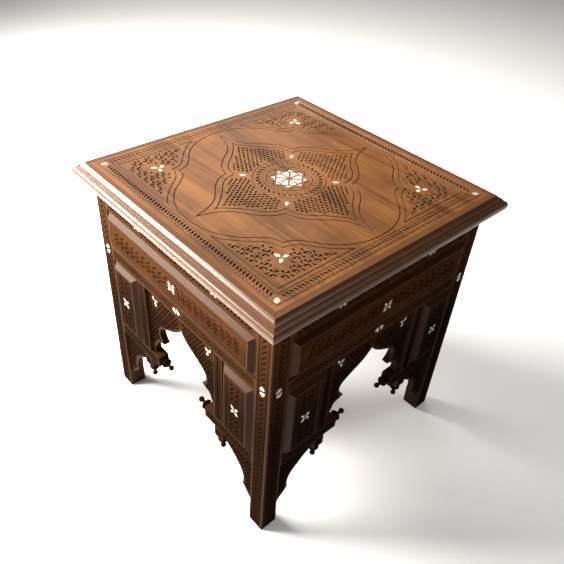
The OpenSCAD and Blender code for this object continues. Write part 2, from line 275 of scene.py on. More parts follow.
# %% Lattices and borders
def scroll_motif(row, column):
    """A hooked scroll that opens up and down by turns, with a leaf beside it."""
    side = 1 if row % 2 == 0 else -1
    hook = crescent(0, 0, 4.1, 5.0, 28 + 90 * side, 212, hook_shape, 10)
    leaf = lens(9.4, 2.4 * side, 7.0, 3.6, -42 * side)
    eye = lens(1.4 * side, 1.2 * side, 2.8, 2.0, 40)
    vein = lens(9.6, -1.6 * side, 4.2, 1.7, -10 * side)
    return [hook, leaf, eye, vein]


def small_scroll_motif(row, column):
    """The same scroll at four fifths of its size."""
    return [[(x * 0.8, y * 0.8) for x, y in stroke] for stroke in scroll_motif(row, column)]


def fan_motif(row, column):
    """Drops that lean in towards a middle line, which is row nought."""
    lean = -50 if row > 0 else 50 if row < 0 else 0
    return [turned(drop(-3.1, 0, 6.6, 4.8, 0), lean)]


def weave_motif(row, column):
    """Commas that lean one way and the other by turns, like stems that cross."""
    return [comma(0, 0, 6.9, 3.8, (42, 138, 222, 318)[(row + 2 * column) % 4])]


def lattice(field, step, rise, motif, keep_clear, origin, deep):
    """A motif over a field, each row set half a step along. Circles x, y, radius are kept clear."""
    cuts = []
    xs, ys = [p[0] for p in field], [p[1] for p in field]
    first_row = math.floor((min(ys) - origin[1]) / rise) - 1
    last_row = math.ceil((max(ys) - origin[1]) / rise) + 1
    first_column = math.floor((min(xs) - origin[0]) / step) - 1
    last_column = math.ceil((max(xs) - origin[0]) / step) + 1
    for row in range(first_row, last_row + 1):
        for column in range(first_column, last_column + 1):
            x = origin[0] + (column + 0.5 * (row % 2)) * step
            y = origin[1] + row * rise
            for stroke in motif(row, column):
                placed = moved(stroke, x, y)
                clear = all(math.hypot(px - cx, py - cy) > r for px, py in placed
                            for cx, cy, r in keep_clear)
                if clear and all(inside(p, field) for p in placed):
                    cuts.append(gouged(placed, deep))
    return cuts


def steps_along(length, pitch):
    """As many places as fit along a length, one pitch apart, with zero in their middle."""
    count = int(length / pitch)
    start = -(count - 1) * pitch / 2
    return [start + i * pitch for i in range(count)]


def rope(length, pitch, width, slant, thick):
    """Slanting strokes along x, as on a twisted rope. thick is a stroke's share of the pitch."""
    return [lens(x, 0, width, thick * pitch, 90 - slant) for x in steps_along(length, pitch)]


def chain(length, pitch, width):
    """Pairs of commas along x, head to tail, with a nick beside each: a twisted chain."""
    strokes = []
    for x in steps_along(length, pitch):
        for way in (1, -1):
            strokes.append(comma(x - 0.27 * pitch * way, 0.17 * width * way,
                                 0.47 * width, 0.24 * width, 38 + 90 * way))
        for way in (1, -1):
            strokes.append(lens(x + 0.22 * pitch * way, 0.38 * width * way,
                                0.18 * width, 0.12 * width, 40))
    return strokes


def pits(length, pitch, reach, off_middle):
    """Two rows of three-sided pits along x that point at each other, half a step apart."""
    count = int(length / pitch)
    cuts = []
    for i in range(2 * count - 1):
        x = (i - count + 1) * pitch / 2
        way = 1 if i % 2 else -1
        cuts.append(turned(ring(reach, 3), 90 * way, x, -off_middle * way))
    return cuts


print("a scroll is", len(scroll_motif(0, 0)), "cuts, and 100 mm of chain", len(chain(100, 10.4, 14.0)))

# %% [markdown]
# ## Shell outlines
# The shell pieces are cut with a fine saw: petals, kites and split ovals. The same outlines give
# the pocket in the wood and the piece that fills it, so the two always fit. A painted patch would
# be simpler, but it has no rim to catch the light.

# %% Shell outlines
def petal(length, width, angle, gap=0.0):
    """A petal that starts at a gap from the origin and points away along an angle."""
    return turned(lens(gap + length / 2, 0, length, width, 0, 10), angle)


def petals(angles, length, width, gap):
    return [petal(length, width, a, gap) for a in angles]


def split_oval(half_width, half_height, slit, slant):
    """The two halves of an upright oval, parted by a slanting slit."""
    across = math.radians(slant)
    oval = [(half_width * math.cos(math.radians(a)), half_height * math.sin(math.radians(a)))
            for a in range(0, 360, 12)]
    halves = []
    for side in (1, -1):
        height = [(-x * math.sin(across) + y * math.cos(across)) * side for x, y in oval]
        kept = [h > slit / 2 for h in height]
        first = next(i for i in range(len(oval)) if kept[i] and not kept[i - 1])
        halves.append([oval[(first + i) % len(oval)] for i in range(sum(kept))])
    return halves


def star_pieces(half_diagonal, strip):
    """Eight kites that meet near the middle and eight points round them, a strip of wood apart."""
    flat = half_diagonal / math.sqrt(2) - strip / 2
    half_kite = math.radians(22.5)
    corner = flat / math.cos(half_kite)
    near = strip / 2 / math.sin(half_kite)
    kite = [(near * math.cos(half_kite), near * math.sin(half_kite)), (flat, strip / 2),
            (corner * math.cos(half_kite), corner * math.sin(half_kite)),
            (flat * math.cos(2 * half_kite) + strip / 2 * math.sin(2 * half_kite),
             flat * math.sin(2 * half_kite) - strip / 2 * math.cos(2 * half_kite))]
    reach = half_diagonal - strip / math.sqrt(2)
    base = flat + strip
    tip = [(base, base - reach), (reach, 0), (base, reach - base)]
    pieces = []
    for i in range(8):
        pieces.append(turned(kite, 45 * i))
        pieces.append(turned(tip, 45 * i))
    return pieces


DIAGONAL_WAYS = (45, 135, 225, 315)
oval_halves = split_oval(5.4, 9.2, 1.6, 20)
star_shell = star_pieces(30.0, 2.7)
print("the star is cut from", len(star_shell), "pieces, and an oval from", len(oval_halves))

# %% [markdown]
# ## Cutting the outlines into a board
# A board starts as a plain solid with softened edges. Its flat face is taken away, the rims of
# all the cuts are drawn in its plane, and one fill covers what is left between them. Each cut's
# own face is then inset and pushed in, which gives it real sloping walls and a floor. This takes
# no booleans, which would be slow and fragile for a thousand cuts. Solids stay in millimetres
# until they are finished, because the fill is not exact enough at a thousandth of that size.
# The solid comes first: a flat outline swept straight, with its sharp edges rounded off.

# %% Solids
MIRROR = Matrix.Scale(-1, 4, (1, 0, 0))
RUBBED = -1.0
CUT_FLOOR = 1.0


def new_solid():
    """An empty solid. Its cut layer says which corners are rubbed and which lie in a cut."""
    bm = bmesh.new()
    bm.verts.layers.float.new("cut")
    return bm


def extruded(corners):
    """A closed solid of no thickness yet, and the corners of its far end, which can be moved."""
    bm = new_solid()
    base = bm.faces.new([bm.verts.new(corner) for corner in corners])
    raised = bmesh.ops.extrude_face_region(bm, geom=[base])
    return bm, [v for v in raised["geom"] if isinstance(v, bmesh.types.BMVert)]


def sharp_prism(corners, run):
    """A solid swept from a flat outline in space."""
    bm, far_end = extruded(corners)
    bmesh.ops.translate(bm, verts=far_end, vec=run)
    bmesh.ops.recalc_face_normals(bm, faces=bm.faces)
    return bm


def soften(bm, arris, least_angle=28):
    """Rounds every edge of a solid that is sharper than an angle, and marks it as rubbed."""
    sharp = [e for e in bm.edges if abs(e.calc_face_angle(0)) > math.radians(least_angle)]
    made = bmesh.ops.bevel(bm, geom=sharp, offset=arris, affect="EDGES", segments=2,
                           profile=0.5, material=-1, clamp_overlap=True)
    cut = bm.verts.layers.float["cut"]
    for vert in made["verts"]:
        vert[cut] = RUBBED


def prism(corners, run, arris=0.6):
    """A swept solid with its sharp edges softened."""
    bm = sharp_prism(corners, run)
    soften(bm, arris)
    return bm


def board(outline, back_at, front_at, arris=0.6):
    """A board drawn from the front, between two depths."""
    return prism([(x, y, back_at) for x, y in outline], (0, 0, front_at - back_at), arris)


def repeated(bm, places):
    """One mesh with a copy of the solid at every place."""
    pattern = bpy.data.meshes.new("pattern")
    bm.to_mesh(pattern)
    bm.free()
    joined = bmesh.new()
    for place in places:
        copy = pattern.copy()
        copy.transform(place)
        joined.from_mesh(copy)
        bpy.data.meshes.remove(copy)
    bpy.data.meshes.remove(pattern)
    bmesh.ops.recalc_face_normals(joined, faces=joined.faces)
    return joined


sample = board(rectangle(0, 0, 100, 20), -10, 0)
print("a plain board with softened edges has", len(sample.faces), "faces")
sample.free()

# %% [markdown]
# ## Carving
# A gouge leaves a cut with sloping walls and a floor, and no two strokes are quite alike. So each
# outline is first moved, turned and sized by a hair. Then the flat face is opened, filled again
# around the rims, and the cuts are pushed in. A displacement map could darken the same places,
# but at this size the walls have to be real to catch the light. The fill cannot go round two rims
# that cross, so another random seed or larger strokes can leave open edges, and are to be checked.

# %% Carving
HAND_SIZE = (0.94, 1.04)
HAND_TURN = 4
HAND_SHIFT = 0.12
GROOVE_WALL = 0.3


def flat_face(bm, direction, near=None):
    """The largest face that looks along a direction, or the one nearest to a point."""
    direction = Vector(direction)
    nearly_along = 0.999
    facing = [f for f in bm.faces if f.normal.dot(direction) > nearly_along]
    if near is not None:
        return min(facing, key=lambda f: (f.calc_center_median() - Vector(near)).length)
    return max(facing, key=lambda f: f.calc_area())


hand = random.Random(9)


def by_hand(outline):
    """A stroke as a hand cuts it: a little off its place, its size and its angle."""
    x = sum(px for px, py in outline) / len(outline)
    y = sum(py for px, py in outline) / len(outline)
    size = hand.uniform(*HAND_SIZE)
    scaled = [((px - x) * size, (py - y) * size) for px, py in outline]
    angle = hand.uniform(-HAND_TURN, HAND_TURN)
    x += hand.uniform(-HAND_SHIFT, HAND_SHIFT)
    y += hand.uniform(-HAND_SHIFT, HAND_SHIFT)
    return turned(scaled, angle, x, y)


def mark_floor(bm, faces):
    """Tells the finish that these faces lie in a cut."""
    cut = bm.verts.layers.float["cut"]
    for vert in {v for f in faces for v in f.verts}:
        vert[cut] = CUT_FLOOR


def carve(bm, face, place, cuts):
    """Cuts outlines into a flat face. place carries a drawn point onto it."""
    rims = list(face.edges)
    normal = face.normal.copy()
    bmesh.ops.delete(bm, geom=[face], context="FACES_ONLY")

    def point(x, y):
        return bm.verts.new(place @ Vector((x, y, 0)))

    floors, channels = {}, {}
    for cut in cuts:
        if isinstance(cut, Cut):
            rim = by_hand(cut.rim) if cut.wall > POCKET_WALL else cut.rim
            floor = bm.faces.new([point(x, y) for x, y in rim])
            rims += floor.edges
            floors.setdefault((cut.wall, cut.deep), []).append(floor)
        else:
            pairs = [(point(*a), point(*b)) for a, b in zip(cut.left, cut.right)]
            ahead = pairs[1:] + pairs[:1] if cut.closed else pairs[1:]
            strip = [bm.faces.new((a, b, d, c)) for (a, b), (c, d) in zip(pairs, ahead)]
            rims += [e for f in strip for e in f.edges if len(e.link_faces) == 1]
            channels.setdefault(cut.deep, []).extend(strip)
    bmesh.ops.triangle_fill(bm, edges=rims, use_beauty=True, normal=normal)
    for (wall, deep), faces in floors.items():
        bmesh.ops.inset_individual(bm, faces=faces, thickness=wall, depth=-deep, use_even_offset=True)
        mark_floor(bm, faces)
    for deep, faces in channels.items():
        bmesh.ops.inset_region(bm, faces=faces, thickness=GROOVE_WALL, depth=-deep, use_boundary=True,
                               use_even_offset=True)
        mark_floor(bm, faces)
    bmesh.ops.recalc_face_normals(bm, faces=bm.faces)


sample = board(rectangle(0, 0, 100, 20), -10, 0)
plain_count = len(sample.faces)
carve(sample, flat_face(sample, (0, 0, 1)), Matrix(), [groove([(10, 10), (90, 10)], 1.2, 0.8, False)])
print("one engraved line takes the plain board from", plain_count, "to", len(sample.faces), "faces")
sample.free()

# %% [markdown]
# ## From a solid to a finished piece
# Every object is cut from its own length of wood, so no two show the same figure. Before a piece
# goes to its place, each corner of the mesh is given the spot in the wood that it was cut from, as
# an attribute that the wood reads later. A pattern on the object's own axes would run through
# the joints as if the table were cut from one block. The pieces of one face of the table are
# drawn flat, stood upright at the front and then turned to each side.

# %% Turning a solid into a finished piece
FACES = ("front", "right", "back", "left")
grain_seed = random.Random(7)
leg_plane = -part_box("leg_front_right")[0].y / MM
UPRIGHT = Matrix(((1, 0, 0, 0), (0, 0, -1, -leg_plane), (0, 1, 0, 0), (0, 0, 0, 1)))
all_faces = [Matrix.Rotation(math.radians(90 * q), 4, "Z") @ UPRIGHT for q in range(4)]


def finished(bm, name, material, grain_along, place=Matrix(), quarter=0, smooth_angle=35):
    """Makes the object: grain runs along x or y of the drawing, then the piece goes to its place."""
    grain = bm.verts.layers.float_vector.new("grain")
    shift = Vector([grain_seed.uniform(0, 20) for _ in range(3)])
    swing = Matrix.Rotation(math.radians(grain_seed.uniform(-1.5, 1.5)), 3, "Z")
    for vert in bm.verts:
        along, across = vert.co.x, vert.co.y
        if grain_along == "y":
            along, across = across, along
        vert[grain] = swing @ Vector((along, across, vert.co.z)) * MM + shift
    place = Matrix.Scale(MM, 4) @ Matrix.Rotation(math.radians(90 * quarter), 4, "Z") @ place
    bmesh.ops.transform(bm, matrix=place, verts=bm.verts)
    mesh = bpy.data.meshes.new(name)
    bm.to_mesh(mesh)
    bm.free()
    mesh.shade_smooth()
    mesh.set_sharp_from_angle(angle=math.radians(smooth_angle))
    mesh.materials.append(material)
    piece = bpy.data.objects.new(name, mesh)
    bpy.context.scene.collection.objects.link(piece)
    even = piece.modifiers.new("even_normals", "WEIGHTED_NORMAL")
    even.keep_sharp = True
    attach(piece, "root")
    return piece


def stands_for(piece, node):
    """The plain piece is hidden, since this one takes its place. The piece argument is not used."""
    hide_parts(node)


print("the faces of the legs stand", round(leg_plane, 1), "mm out from the middle of the table")

# %% [markdown]
# ## Shader maths
# Colour and gloss are worked out with sums. The nodes could be added one by one, but then the sum
# can't be read any more. So a small class wraps a socket and lets Python's own operators add the
# Math nodes, and a second one holds the material that the nodes belong to.

# %% A signal and a recipe
class Signal:
    """A number on its way through a material."""

    def __init__(self, recipe, socket):
        self.recipe = recipe
        self.socket = socket

    def math(self, operation, *values):
        return self.recipe.node("ShaderNodeMath", {"operation": operation}, [self, *values])

    def __add__(self, other):
        return self.math("ADD", other)

    def __sub__(self, other):
        return self.math("SUBTRACT", other)

    def __rsub__(self, other):
        return self.recipe.node("ShaderNodeMath", {"operation": "SUBTRACT"}, [other, self])

    def __mul__(self, other):
        return self.math("MULTIPLY", other)

    __radd__ = __add__
    __rmul__ = __mul__

    def clamped(self):
        return self.recipe.node("ShaderNodeClamp", {}, {"Value": self})

    def between(self, low, high):
        """0 below low and 1 above high, straight in between."""
        settings = {"interpolation_type": "LINEAR", "clamp": True}
        return self.recipe.node("ShaderNodeMapRange", settings,
                                {"Value": self, "From Min": low, "From Max": high}, "Result")


class Recipe:
    """A material and its nodes."""

    def __init__(self, name):
        self.material = bpy.data.materials.new(name)
        self.material.use_nodes = True
        self.tree = self.material.node_tree
        self.shader = self.tree.nodes["Principled BSDF"]

    def node(self, kind, settings, sockets, output=0):
        """Any node: its settings first, then the values or links of its sockets."""
        node = self.tree.nodes.new(kind)
        for key, value in settings.items():
            setattr(node, key, value)
        named = enumerate(sockets) if isinstance(sockets, list) else sockets.items()
        for key, value in named:
            if isinstance(value, Signal):
                self.tree.links.new(value.socket, node.inputs[key])
            else:
                node.inputs[key].default_value = value
        return Signal(self, node.outputs[output])

    def mix(self, factor, low, high):
        """A colour between two others. The node's colour sockets have numbers, not names."""
        return self.node("ShaderNodeMix", {"data_type": "RGBA"}, {0: factor, 6: low, 7: high}, 2)

    def texture_place(self):
        """Where a point lies on the table, in metres."""
        return self.node("ShaderNodeTexCoord", {}, {}, "Object")

    def stretched(self, vector, scale):
        """The place multiplied along each axis: a large factor makes a pattern fine that way."""
        return self.node("ShaderNodeVectorMath", {"operation": "MULTIPLY"}, [vector, scale])

    def noise(self, vector, scale, detail=3.0, roughness=0.5, distortion=0.0):
        return self.node("ShaderNodeTexNoise", {}, {"Vector": vector, "Scale": scale, "Detail": detail,
                                                    "Roughness": roughness, "Distortion": distortion})

    def finish(self, **sockets):
        """Sets the shader's own sockets, named with underscores for spaces."""
        for key, value in sockets.items():
            socket = self.shader.inputs[key.replace("_", " ")]
            if isinstance(value, Signal):
                self.tree.links.new(value.socket, socket)
            else:
                socket.default_value = value
        return self.material


print("signals work in Blender", bpy.app.version_string)

# %% [markdown]
# ## Wood
# The wood is a walnut or rosewood stained red-brown and lacquered. Its figure follows the grain
# of each board, so it reads the piece's own grain attribute and not the object's axes: a rail and
# a leg get the same wood with the grain along each. The arrises wear paler, and the cuts go near-black,
# partly from stain that gathers there and partly as painted shade; the cut attribute says where. The
# top is painted palest, as painted light, and the moulding and the sides darker, the sides darkest, as
# painted shade. The top has a thin smooth coat of lacquer, the moulding more, but scuffed, and the
# sides a little on the rubbed arrises alone. An image of wood would need a flat map of every board.

# %% Wood material
# Painted shade towards the floor: the height where it starts, where it is full, and its colour.
SHADE_FADE_STARTS = 0.45
SHADE_FADE_FULL = 0.26
FLOOR_SHADE_COLOUR = (0.0085, 0.0042, 0.0028, 1.0)


def rgb(r, g, b):
    return (r, g, b, 1.0)


def wood(name, light, dark, stain_and_shade, gloss, shine, coat, coat_gloss=0.16, rubbed_coat=0.0, floor_shade=0.0):
    """Stained wood, with painted shade that darkens it towards the floor, where less light falls."""
    recipe = Recipe(name)
    grain = recipe.node("ShaderNodeAttribute", {"attribute_name": "grain"}, {}, "Vector")
    cut = recipe.node("ShaderNodeAttribute", {"attribute_name": "cut"}, {}, "Fac")
    figure = recipe.noise(recipe.stretched(grain, (2.2, 26.0, 26.0)), 1.0, 4.0, 0.55, 1.2)
    bands = recipe.noise(recipe.stretched(grain, (6.0, 190.0, 190.0)), 1.0, 3.0, 0.6, 0.4)
    pores = recipe.noise(recipe.stretched(grain, (45.0, 1500.0, 1500.0)), 1.0, 2.0, 0.6)
    cloud = recipe.noise(grain, 14.0, 3.0, 0.6)
    tone = (figure * 0.62 + bands * 0.38).between(0.34, 0.66)
    colour = recipe.mix(tone, dark, light)
    colour = recipe.mix(pores.between(0.60, 0.72) * 0.45, colour, stain_and_shade)
    colour = recipe.mix(cloud.between(0.48, 0.70) * 0.45, colour, dark)
    colour = recipe.mix(cloud.between(0.46, 0.28) * 0.55, colour, light)
    height = recipe.node("ShaderNodeSeparateXYZ", {}, [recipe.texture_place()], "Z")
    # Painted shade: the wood darkens towards the floor, for light that falls off lower down.
    colour = recipe.mix(height.between(SHADE_FADE_STARTS, SHADE_FADE_FULL) * floor_shade, colour, FLOOR_SHADE_COLOUR)
    rubbed = (cut * -1.0).clamped()
    hollow = cut.clamped()
    colour = recipe.mix(rubbed * 0.25, colour, light)
    # The cuts turn near-black: partly stain that gathers in them, partly painted shade in the hollows.
    colour = recipe.mix(hollow.between(0.15, 0.75), colour, stain_and_shade)
    bump = recipe.node("ShaderNodeBump", {}, {"Strength": 0.22, "Distance": 0.00025,
                                              "Height": bands * 0.35 + pores * 0.65}, "Normal")
    return recipe.finish(Base_Color=colour,
                         Roughness=gloss + (pores * 0.14 + cloud * 0.10 + hollow * 0.25) - 0.12,
                         Coat_Weight=(rubbed * rubbed_coat + coat) * (1.0 - hollow),
                         Coat_Roughness=coat_gloss, Specular_IOR_Level=shine, Normal=bump)


# The three woods are lit and shaded copies of one walnut: the top's paler colour is painted light, the
# moulding's and the sides' darker colours are painted shade.
lit_top_wood = wood("polished_walnut", light=rgb(0.176, 0.069, 0.019), dark=rgb(0.060, 0.022, 0.007),
                stain_and_shade=rgb(0.008, 0.0035, 0.002), gloss=0.34, shine=0.30, coat=0.15)
shaded_edge_wood = wood("edge_walnut", light=rgb(0.094, 0.037, 0.013), dark=rgb(0.056, 0.022, 0.008),
                 stain_and_shade=rgb(0.006, 0.003, 0.002), gloss=0.34, shine=0.12, coat=0.34, coat_gloss=0.28)
shaded_side_wood = wood("carved_walnut", light=rgb(0.074, 0.029, 0.011), dark=rgb(0.034, 0.013, 0.005),
                 stain_and_shade=rgb(0.0025, 0.0012, 0.0008), gloss=0.40, shine=0.0, coat=0.0, coat_gloss=0.25,
                 rubbed_coat=0.10, floor_shade=0.92)
print("woods:", lit_top_wood.name, shaded_edge_wood.name, shaded_side_wood.name)

# %% [markdown]
# ## Shell
# Mother-of-pearl is cream in the mass, with pink and green where the layers of the shell are cut
# at an angle. Broad noise gives the cream its clouds, and fine noise stretched one way gives the
# layers. A true thin film could be worked out, but on chips of a few millimetres it would not
# show. The blocks and screws under the top keep their plain shapes and only get their finish.

# %% Shell, softwood and steel
def shell_finish():
    recipe = Recipe("mother_of_pearl")
    place = recipe.texture_place()
    cloud = recipe.noise(place, 120.0, 2.0, 0.5, 1.5)
    layer = recipe.noise(recipe.stretched(place, (160.0, 520.0, 520.0)), 1.0, 3.0, 0.6, 0.6)
    colour = recipe.mix(cloud.between(0.38, 0.62), rgb(0.32, 0.29, 0.23), rgb(0.45, 0.42, 0.37))
    colour = recipe.mix(layer.between(0.56, 0.72) * 0.5, colour, rgb(0.40, 0.50, 0.46))
    colour = recipe.mix(layer.between(0.44, 0.30) * 0.4, colour, rgb(0.62, 0.44, 0.38))
    return recipe.finish(Base_Color=colour, Roughness=layer * 0.12 + 0.12, Coat_Weight=0.5,
                         Coat_Roughness=0.05, Specular_IOR_Level=0.6)


def softwood_finish():
    recipe = Recipe("bare_softwood")
    place = recipe.texture_place()
    figure = recipe.noise(recipe.stretched(place, (60.0, 60.0, 5.0)), 1.0, 3.0, 0.6, 0.8)
    fibre = recipe.noise(recipe.stretched(place, (900.0, 900.0, 30.0)), 1.0, 2.0)
    colour = recipe.mix(figure.between(0.35, 0.65), rgb(0.50, 0.34, 0.18), rgb(0.66, 0.50, 0.30))
    return recipe.finish(Base_Color=colour, Roughness=fibre * 0.2 + 0.6)


def steel_finish():
    recipe = Recipe("screw_steel")
    place = recipe.texture_place()
    scuff = recipe.noise(place, 700.0, 3.0)
    colour = recipe.mix(scuff.between(0.4, 0.7), rgb(0.55, 0.54, 0.51), rgb(0.38, 0.36, 0.33))
    return recipe.finish(Base_Color=colour, Metallic=1.0, Roughness=scuff * 0.3 + 0.25)


shell = shell_finish()
softwood = softwood_finish()
steel = steel_finish()
for node, finish in (("corner_blocks", softwood), ("block_screws", steel)):
    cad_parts[node].data.materials.clear()
    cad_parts[node].data.materials.append(finish)
    print(node, "are finished in", finish.name)

# %% [markdown]
# ## The top board
# The board is one square of solid wood. Its carving has a plan: a rope border with a shell
# lozenge in each corner, a large medallion line that comes to a point towards each corner, a
# foliage field and a trefoil in each corner, and in the middle a four-pointed figure drawn with
# two lines round a ring of rope and a star. Every line is worked out for an eighth of the board
# and repeated, as a carver would use one paper pattern eight times.

# %% Lines of the top
HALF_TOP = 232.0
ROPE_LINE = 207.5
FRAME_LINE = 192.0
FIELD_END = 52.3
STAR_TIP = 33.8
STAR_NOTCH = STAR_TIP * 0.7654
ROPE_PITCH = 6.6
TOP_DEEP = 1.3
FIRST_DOT = -195.0
DOT_COUNT = 59


def all_round(eighth):
    """A closed path from an eighth of it, which runs from the +x axis to the diagonal."""
    quarter = eighth + swapped(eighth[:-1])
    path = []
    for i in range(4):
        path += turned(quarter[:-1], 90 * i)
    return path


medallion = all_round([(193.6, 0)] + curve((193.6, 0), (193.6, 39), (178.6, 62.6), (157.8, 81.2), 9)
                      + curve((157.8, 81.2), (139.2, 95.1), (124, 103), (123, 123), 9))
inner_figure = all_round([(145.5, 0)] + curve((145.5, 0), (135.7, 4.2), (128.8, 11.6), (116, 23.2), 6)
                         + curve((116, 23.2), (97.4, 41.8), (92.8, 60.8), (61.9, 61.9), 9))
outer_figure = all_round([(179.3, 0)] + curve((179.3, 0), (162.4, 4.6), (143.8, 8.1), (128.8, 23.2), 7)
                         + curve((128.8, 23.2), (111.4, 44.1), (99.8, 67.3), (71, 71), 9))
corner_edge = (curve((FRAME_LINE, FIELD_END), (181, 74.2), (162.4, 89.3), (147, 101.2), 8)
               + curve((147, 101.2), (136.9, 110.2), (131.3, 120.6), (131.3, 131.3), 6))
corner_line = ([(FRAME_LINE, FIELD_END)] + corner_edge + swapped(corner_edge[:-1])
               + [(FIELD_END, FRAME_LINE), (FRAME_LINE, FRAME_LINE)])[::-1]
star_line = []
for i in range(16):
    from_middle = STAR_NOTCH if i % 2 else STAR_TIP
    angle = math.radians(22.5 * i)
    star_line.append((from_middle * math.cos(angle), from_middle * math.sin(angle)))

top_cuts = [groove(medallion, 1.8, 1.1), groove(inner_figure, 1.8, 1.1), groove(outer_figure, 1.8, 1.1),
            groove(star_line, 1.3, 0.8), groove(ring(36.6, 72), 1.3, 0.8), groove(ring(58.6, 96), 1.2, 0.8)]
for reach in (199.3, 215.0):
    top_cuts.append(groove(rectangle(-reach, -reach, reach, reach), 1.2, 0.8))
for quarter in range(4):
    top_cuts.append(groove(turned(corner_line, 90 * quarter), 1.6, 1.0))
    border = [moved(o, 0, ROPE_LINE - 1.2) for o in rope(396, ROPE_PITCH, 10.4, -26, 0.58)]
    dots = [lens(FIRST_DOT + ROPE_PITCH * i, ROPE_LINE + 5.2, 3.4, 2.0, -45) for i in range(DOT_COUNT)]
    top_cuts += placed_cuts(border + dots, TOP_DEEP, 90 * quarter)
print("the top has", len(top_cuts), "lines and border cuts")

# %% [markdown]
# ## What fills the plan
# Between the lines come the foliage, the ring round the star and the pockets for the shell. Each
# corner field is mirrored in the diagonal: its cuts are made on one side of it and swapped to the
# other. The loose petals lie on the diagonals, so one row of them is turned to all four.

# %% Fields, ring and shell of the top
FIELD_DEEP = 1.5
RING_COUNT = 36
DIAGONAL = HALF_TOP * math.sqrt(2)
TREFOIL_SHARE = 0.632
along_diagonal = [moved(petal(12, 6.4, 0), 0.318 * HALF_TOP - 6),
                  moved(petal(12, 7.6, 0), 0.896 * DIAGONAL - 6)]
along_diagonal += [moved(p, TREFOIL_SHARE * DIAGONAL) for p in petals((0, 125, 235), 11, 6.2, 1.2)]
petal_shell = [turned(outline, way) for way in DIAGONAL_WAYS for outline in along_diagonal]

ring_rope = [turned(lens(50.2, 0, 11.4, 3.8, 40), 10 * i) for i in range(RING_COUNT)]
ring_dots = [turned(lens(42.9, 0, 3.4, 2.2, 38), 10 * i + 4) for i in range(RING_COUNT)]
top_cuts += placed_cuts(ring_rope + ring_dots, TOP_DEEP)

trefoil = TREFOIL_SHARE * HALF_TOP
corner_field = grown(swapped(corner_line), -5.0)
wing = lattice(corner_field, 19.5, 10.1, scroll_motif, [(trefoil, trefoil, 13.0)], (92.8, 181.7),
               FIELD_DEEP)
upper_wing = [c for c in wing if all(y > x + 0.8 for x, y in c.rim)]
lower_wing = [gouged(swapped(c.rim), FIELD_DEEP) for c in upper_wing]
clear = [(0, 0, 61.0), (52.2, 52.2, 8.5), (52.2, -52.2, 8.5)]
figure_cuts = lattice(grown(inner_figure, -5.0), 12.0, 3.9, fan_motif, clear, (69.0, 0), FIELD_DEEP)
figure_cuts = [c for c in figure_cuts if all(x - 1.0 > abs(y) for x, y in c.rim)]
for quarter in range(4):
    for cut in lower_wing + upper_wing + figure_cuts:
        top_cuts.append(gouged(turned(cut.rim, 90 * quarter), cut.deep))
top_shell = star_shell + petal_shell
top_cuts += shell_pockets(top_shell, 0.25)
print("the top now has", len(top_cuts), "cuts and", len(top_shell), "pieces of shell")

# %% [markdown]
# ## The board itself
# The board is planed square, its arrises are rubbed, and all the carving is cut into its upper
# face at once, because the face can be opened and filled only one time. The grain runs along x.

# %% Cut the top board
top_low, top_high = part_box("top_board")
half_board = top_high.x / MM
board_outline = rectangle(-half_board, -half_board, half_board, half_board)
bm = board(board_outline, top_low.z / MM, top_z / MM, 0.7)
carve(bm, flat_face(bm, (0, 0, 1)), Matrix.Translation((0, 0, top_z / MM)), top_cuts)
print("the top board has", len(bm.faces), "faces")
stands_for(finished(bm, "carved_top_board", lit_top_wood, "x"), "top_board")

# %% [markdown]
# ## The edge moulding
# Four lengths of moulding are mitred round the board. One profile is drawn across the corner and
# stretched from mitre to mitre, so the four pieces meet exactly. A profile swept round the whole
# board would have no joints, and its grain would turn the corners.

# %% Mouldings
def moulding_profile(flat, nose, height):
    """Out from the board's edge and down, as distances from the middle and from the top."""
    points = [(flat, 0)] + curve((flat, 0), (flat + 1.5, -3.5), (flat + 4, -5), (flat + 6.5, -5.5), 8)
    points += [(flat + 7.5, -5.5), (flat + 7.5, -8), (flat + 9.5, -8), (flat + 9.5, -9.5)]
    points += curve((flat + 9.5, -9.5), (nose - 2, -9.5), (nose, -12.5), (nose, -17.5), 8)
    points += curve((nose, -17.5), (nose, -23), (nose - 3, -27), (flat + 9, -28.5), 8)
    points += [(flat + 9, -30.5)]
    return points + curve((flat + 9, -30.5), (flat + 7, -31.5), (flat + 5, -33), (flat + 4, -height), 6)


moulding_low, moulding_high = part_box("moulding_front")
drop_of_moulding = (moulding_high.z - moulding_low.z) / MM
profile = moulding_profile(HALF_TOP, -moulding_low.y / MM, drop_of_moulding)
profile = [(half_board, 0)] + profile + [(half_board, -drop_of_moulding)]
for quarter, face in enumerate(FACES):
    bm, far_end = extruded([(-out, -out, top_z / MM + down) for out, down in profile])
    for vert in far_end:
        vert.co.x = -vert.co.x
    bmesh.ops.recalc_face_normals(bm, faces=bm.faces)
    soften(bm, 0.45, least_angle=50)
    piece = finished(bm, "edge_moulding_" + face, shaded_edge_wood, "x", quarter=quarter, smooth_angle=40)
    stands_for(piece, "moulding_" + face)
print("moulding profile of", len(profile), "points")

# %% [markdown]
# ## The plan of a face
# All four faces of the table are alike, so each piece is worked out once, for the front. Its
# drawing is the front view in millimetres: x to the right, y up from the floor, and z out towards
# the viewer, nought at the faces of the legs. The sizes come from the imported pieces' own boxes.

# %% Sizes of the faces
def size_of(node):
    """Width from and to, height from and to, as a face piece's drawing has them."""
    low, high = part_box(node)
    return low.x / MM, high.x / MM, low.z / MM, high.z / MM


